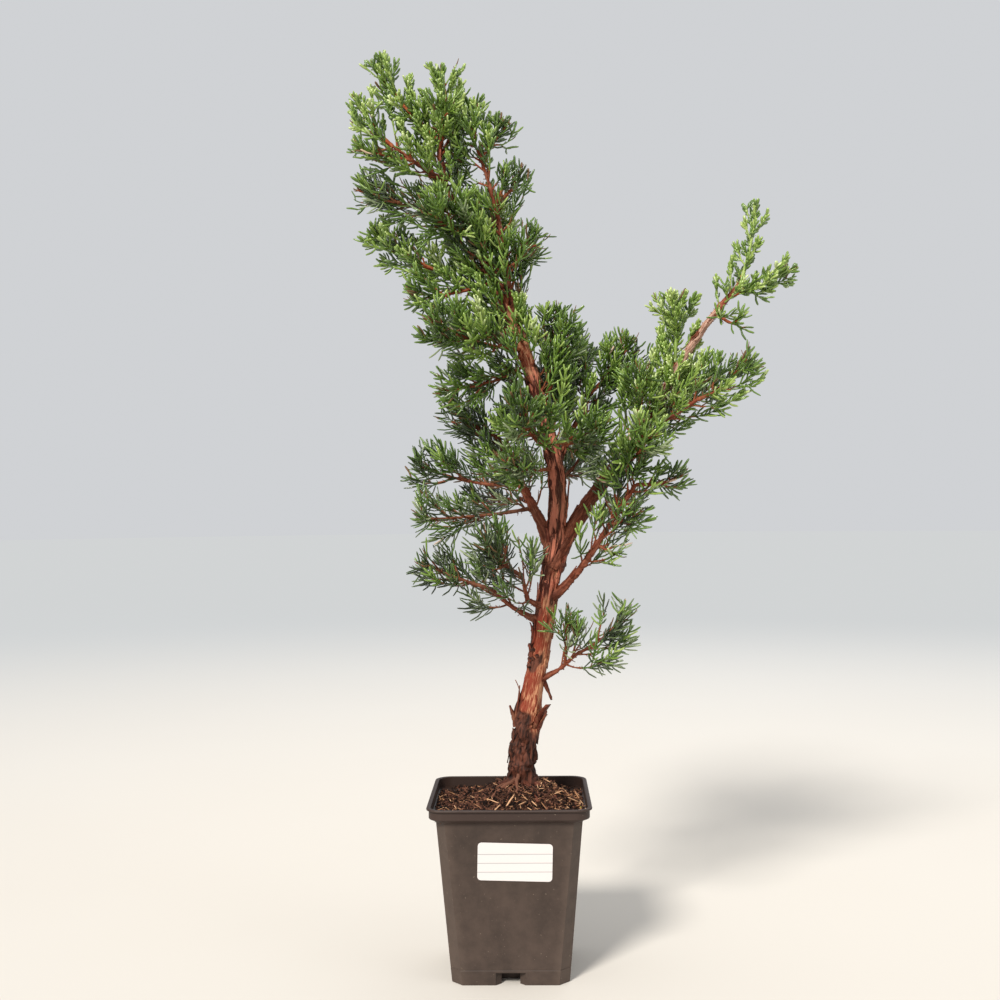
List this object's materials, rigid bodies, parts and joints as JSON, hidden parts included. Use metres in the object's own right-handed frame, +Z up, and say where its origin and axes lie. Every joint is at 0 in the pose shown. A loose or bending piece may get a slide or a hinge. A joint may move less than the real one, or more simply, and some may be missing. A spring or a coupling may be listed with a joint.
{
  "type": "kishu juniper bonsai in a nursery pot",
  "caption": "Kishu juniper bonsai with a slim leaning trunk, a forked open crown of needled sprays and a plain square nursery pot filled with soil.",
  "frame": {"origin": "middle of the pot's flat underside", "axes": "+Z up along the pot, +X to the right and +Y away from the viewer of the labelled face"},
  "size_m": [0.3183, 0.1778, 0.6316],
  "materials": {
    "pot": "matte",
    "soil": "matte",
    "label": "satin",
    "bark": "matte",
    "foliage_old": "matte",
    "foliage_mid": "matte",
    "foliage_new": "matte"
  },
  "bodies": {
    "root": {"pot": "pot", "soil": "soil", "label": "label", "trunk": "bark", "right_limb": "bark", "left_limb": "bark", "low_left_branch": "bark", "low_left_twig": "bark", "right_branch": "bark", "low_right_branch": "bark", "upper_right_branch": "bark", "upper_left_branch": "bark", "inner_right_branch": "bark", "side_branch": "bark", "top_left": "foliage_new", "top_middle": "foliage_new", "top_front": "foliage_new", "top_back": "foliage_new", "upper_left_dark": "foliage_old", "upper_inner": "foliage_mid", "upper_back": "foliage_mid", "left_strand": "foliage_new", "left_strand_low": "foliage_new", "mid_left_front": "foliage_mid", "mid_left": "foliage_mid", "mid_left_back": "foliage_mid", "crown_front": "foliage_mid", "crown_front_low": "foliage_mid", "crown_middle": "foliage_mid", "crown_top": "foliage_mid", "crown_back": "foliage_mid", "crown_back_low": "foliage_old", "crown_front_right": "foliage_mid", "inner_right_low": "foliage_old", "right_inner": "foliage_mid", "right_back": "foliage_mid", "right_top": "foliage_new", "right_tip_low": "foliage_mid", "right_tip_out": "foliage_new", "right_tip_up": "foliage_new", "low_left_mid": "foliage_old", "low_left_back": "foliage_old", "low_left_upper": "foliage_old", "left_limb_tip": "foliage_old", "low_left_tip": "foliage_old", "low_left_front": "foliage_old", "right_branch_low": "foliage_old", "right_branch_side": "foliage_mid", "right_branch_tip": "foliage_mid", "low_right_inner": "foliage_old", "low_right_tip": "foliage_old", "upper_right_low": "foliage_mid", "upper_right_mid": "foliage_mid", "upper_right_side": "foliage_new", "upper_right_tip": "foliage_new", "left_tip_low": "foliage_mid", "left_tip": "foliage_new", "crown_top_right": "foliage_mid", "right_side": "foliage_mid"}
  },
  "joints": []
}
